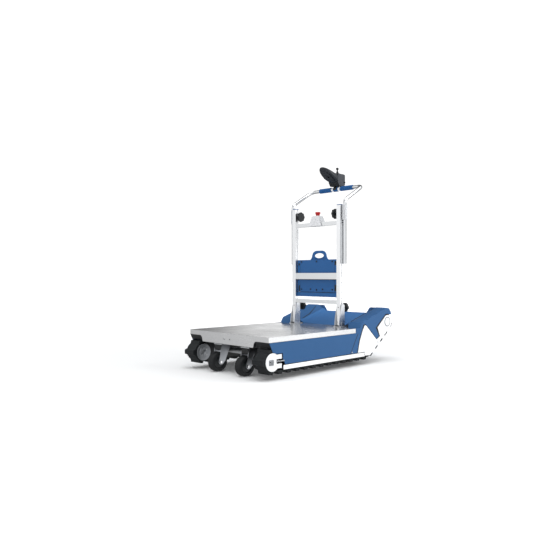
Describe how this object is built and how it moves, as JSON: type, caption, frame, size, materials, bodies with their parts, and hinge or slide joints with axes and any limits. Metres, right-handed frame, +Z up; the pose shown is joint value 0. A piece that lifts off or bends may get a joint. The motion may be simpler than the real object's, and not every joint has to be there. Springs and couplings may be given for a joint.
{
  "type": "tracked stair climbing trolley",
  "caption": "Powered hand trolley with a flat steel deck on a pair of lugged rubber tracks, an upright mast with a bent push handle, a battery pack and a stop button.",
  "frame": {"origin": "on the floor under the middle of the overall width and length", "axes": "+X across the trolley to its right seen from the free end of the deck, +Y from the free end towards the mast and the drive, +Z up"},
  "size_m": [0.6834, 1.1502, 1.2645],
  "materials": {
    "stainless_sheet": "brushed stainless sheet",
    "zinc_steel": "zinc plated steel",
    "aluminium_profile": "anodised aluminium",
    "white_coated_steel": "satin powder coat",
    "blue_coated_sheet": "glossy powder coat",
    "blue_plastic": "moulded shell",
    "blue_rubber": "soft grip sleeve",
    "black_plastic": "moulded plastic",
    "black_rubber": "moulded rubber",
    "wheel_tyre": "rubber tread",
    "grey_plastic": "moulded enclosure",
    "red_plastic": "glossy button",
    "black_coated_steel": "black powder coat"
  },
  "bodies": {
    "base": {"chassis_frame": "black_coated_steel", "deck_plate": "stainless_sheet", "centre_cover": "blue_coated_sheet", "drive_unit": "zinc_steel", "castor_beam": "zinc_steel", "side_panel_left": "blue_coated_sheet", "rear_cover_left": "blue_coated_sheet", "track_rail_left": "aluminium_profile", "end_plate_left": "white_coated_steel", "inner_plate_left": "zinc_steel", "knuckle_plate_left": "white_coated_steel", "boom_plate_left": "white_coated_steel", "track_belt_left": "black_rubber", "front_guard_left": "black_coated_steel", "mast_bracket_left": "zinc_steel", "side_panel_right": "blue_coated_sheet", "rear_cover_right": "blue_coated_sheet", "track_rail_right": "aluminium_profile", "end_plate_right": "white_coated_steel", "inner_plate_right": "zinc_steel", "knuckle_plate_right": "white_coated_steel", "boom_plate_right": "white_coated_steel", "track_belt_right": "black_rubber", "front_guard_right": "black_coated_steel", "mast_bracket_right": "zinc_steel"},
    "mast": {"mast_frame": "aluminium_profile", "mast_cap_left": "blue_plastic", "mast_cap_right": "blue_plastic", "slide_clamp_left": "aluminium_profile", "slide_clamp_right": "aluminium_profile", "battery_tray": "blue_coated_sheet", "stop_box": "grey_plastic"},
    "handle": {"handle_tube": "aluminium_profile", "grip_left": "blue_rubber", "grip_centre": "blue_rubber", "grip_right": "blue_rubber", "console_bracket": "black_plastic", "console_box": "black_plastic", "console_shell": "black_plastic"},
    "battery": {"battery_pack": "blue_plastic"},
    "stop_button": {"stop_button": "red_plastic"},
    "joystick_gimbal": {"joystick_gimbal": "black_rubber"},
    "joystick_stick": {"joystick_stick": "black_plastic"},
    "drive": {"drive_shaft": "zinc_steel", "drive_drum_left": "zinc_steel", "drive_drum_right": "zinc_steel"},
    "star_knob_left": {"star_knob_left": "black_plastic"},
    "lock_knob_left": {"lock_knob_left": "black_plastic"},
    "castor_fork_left": {"castor_fork_left": "zinc_steel"},
    "castor_wheel_left": {"castor_wheel_left": "wheel_tyre"},
    "rear_wheel_left": {"rear_wheel_left": "wheel_tyre"},
    "idler_wheel_left": {"idler_wheel_left": "black_plastic"},
    "bend_roller_left": {"bend_roller_left": "black_plastic"},
    "star_knob_right": {"star_knob_right": "black_plastic"},
    "lock_knob_right": {"lock_knob_right": "black_plastic"},
    "castor_fork_right": {"castor_fork_right": "zinc_steel"},
    "castor_wheel_right": {"castor_wheel_right": "wheel_tyre"},
    "rear_wheel_right": {"rear_wheel_right": "wheel_tyre"},
    "idler_wheel_right": {"idler_wheel_right": "black_plastic"},
    "bend_roller_right": {"bend_roller_right": "black_plastic"}
  },
  "joints": [
    {"name": "mast_fold", "type": "hinge", "parent": "base", "child": "mast", "pos_m": [0, 0.218, 0.2455], "axis": [1, 0, 0], "range_deg": [0, 86]},
    {"name": "handle_slide", "type": "slide", "parent": "mast", "child": "handle", "axis": [0, 0, 1], "range_m": [0, 0.22]},
    {"name": "battery_lift", "type": "slide", "parent": "mast", "child": "battery", "axis": [0, 0, 1], "range_m": [0, 0.12]},
    {"name": "stop_press", "type": "slide", "parent": "mast", "child": "stop_button", "axis": [0, 0, -1], "range_m": [0, 0.004]},
    {"name": "joystick_pitch", "type": "hinge", "parent": "handle", "child": "joystick_gimbal", "pos_m": [0, 0.4285, 1.2175], "axis": [1, 0, 0], "range_deg": [-15, 15], "stiffness_Nm_per_rad": 0.15},
    {"name": "joystick_roll", "type": "hinge", "parent": "joystick_gimbal", "child": "joystick_stick", "pos_m": [0, 0.4285, 1.2175], "axis": [0, 1, 0], "range_deg": [-15, 15], "stiffness_Nm_per_rad": 0.15},
    {"name": "drive_spin", "type": "hinge", "parent": "base", "child": "drive", "pos_m": [0, 0.518, 0.248], "axis": [1, 0, 0], "continuous": true},
    {"name": "star_knob_left_turn", "type": "hinge", "parent": "mast", "child": "star_knob_left", "pos_m": [-0.155, 0.2276, 0.93], "axis": [1, 0, 0], "range_deg": [0, 360]},
    {"name": "lock_knob_left_turn", "type": "hinge", "parent": "base", "child": "lock_knob_left", "pos_m": [-0.1805, 0.264, 0.344], "axis": [0, 1, 0], "range_deg": [0, 360]},
    {"name": "castor_left_swivel", "type": "hinge", "parent": "base", "child": "castor_fork_left", "pos_m": [-0.1155, -0.458, 0.151], "axis": [0, 0, 1], "continuous": true},
    {"name": "castor_left_roll", "type": "hinge", "parent": "castor_fork_left", "child": "castor_wheel_left", "pos_m": [-0.1155, -0.504, 0.055], "axis": [1, 0, 0], "continuous": true},
    {"name": "rear_wheel_left_roll", "type": "hinge", "parent": "base", "child": "rear_wheel_left", "pos_m": [-0.18, 0.286, 0.055], "axis": [1, 0, 0], "continuous": true},
    {"name": "idler_left_spin", "type": "hinge", "parent": "base", "child": "idler_wheel_left", "pos_m": [-0.2915, -0.509, 0.097], "axis": [1, 0, 0], "continuous": true},
    {"name": "bend_roller_left_spin", "type": "hinge", "parent": "base", "child": "bend_roller_left", "pos_m": [-0.2915, 0.3075, 0.081], "axis": [1, 0, 0], "continuous": true},
    {"name": "star_knob_right_turn", "type": "hinge", "parent": "mast", "child": "star_knob_right", "pos_m": [0.155, 0.2276, 0.93], "axis": [1, 0, 0], "range_deg": [0, 360]},
    {"name": "lock_knob_right_turn", "type": "hinge", "parent": "base", "child": "lock_knob_right", "pos_m": [0.1805, 0.264, 0.344], "axis": [0, 1, 0], "range_deg": [0, 360]},
    {"name": "castor_right_swivel", "type": "hinge", "parent": "base", "child": "castor_fork_right", "pos_m": [0.1155, -0.458, 0.151], "axis": [0, 0, 1], "continuous": true},
    {"name": "castor_right_roll", "type": "hinge", "parent": "castor_fork_right", "child": "castor_wheel_right", "pos_m": [0.1155, -0.504, 0.055], "axis": [1, 0, 0], "continuous": true},
    {"name": "rear_wheel_right_roll", "type": "hinge", "parent": "base", "child": "rear_wheel_right", "pos_m": [0.18, 0.286, 0.055], "axis": [1, 0, 0], "continuous": true},
    {"name": "idler_right_spin", "type": "hinge", "parent": "base", "child": "idler_wheel_right", "pos_m": [0.2915, -0.509, 0.097], "axis": [1, 0, 0], "continuous": true},
    {"name": "bend_roller_right_spin", "type": "hinge", "parent": "base", "child": "bend_roller_right", "pos_m": [0.2915, 0.3075, 0.081], "axis": [1, 0, 0], "continuous": true}
  ],
  "couplings": [
    {"joint": "idler_left_spin", "follows": "drive_spin", "ratio": 0.8043},
    {"joint": "bend_roller_left_spin", "follows": "drive_spin", "ratio": 1.2333},
    {"joint": "idler_right_spin", "follows": "drive_spin", "ratio": 0.8043},
    {"joint": "bend_roller_right_spin", "follows": "drive_spin", "ratio": 1.2333}
  ]
}
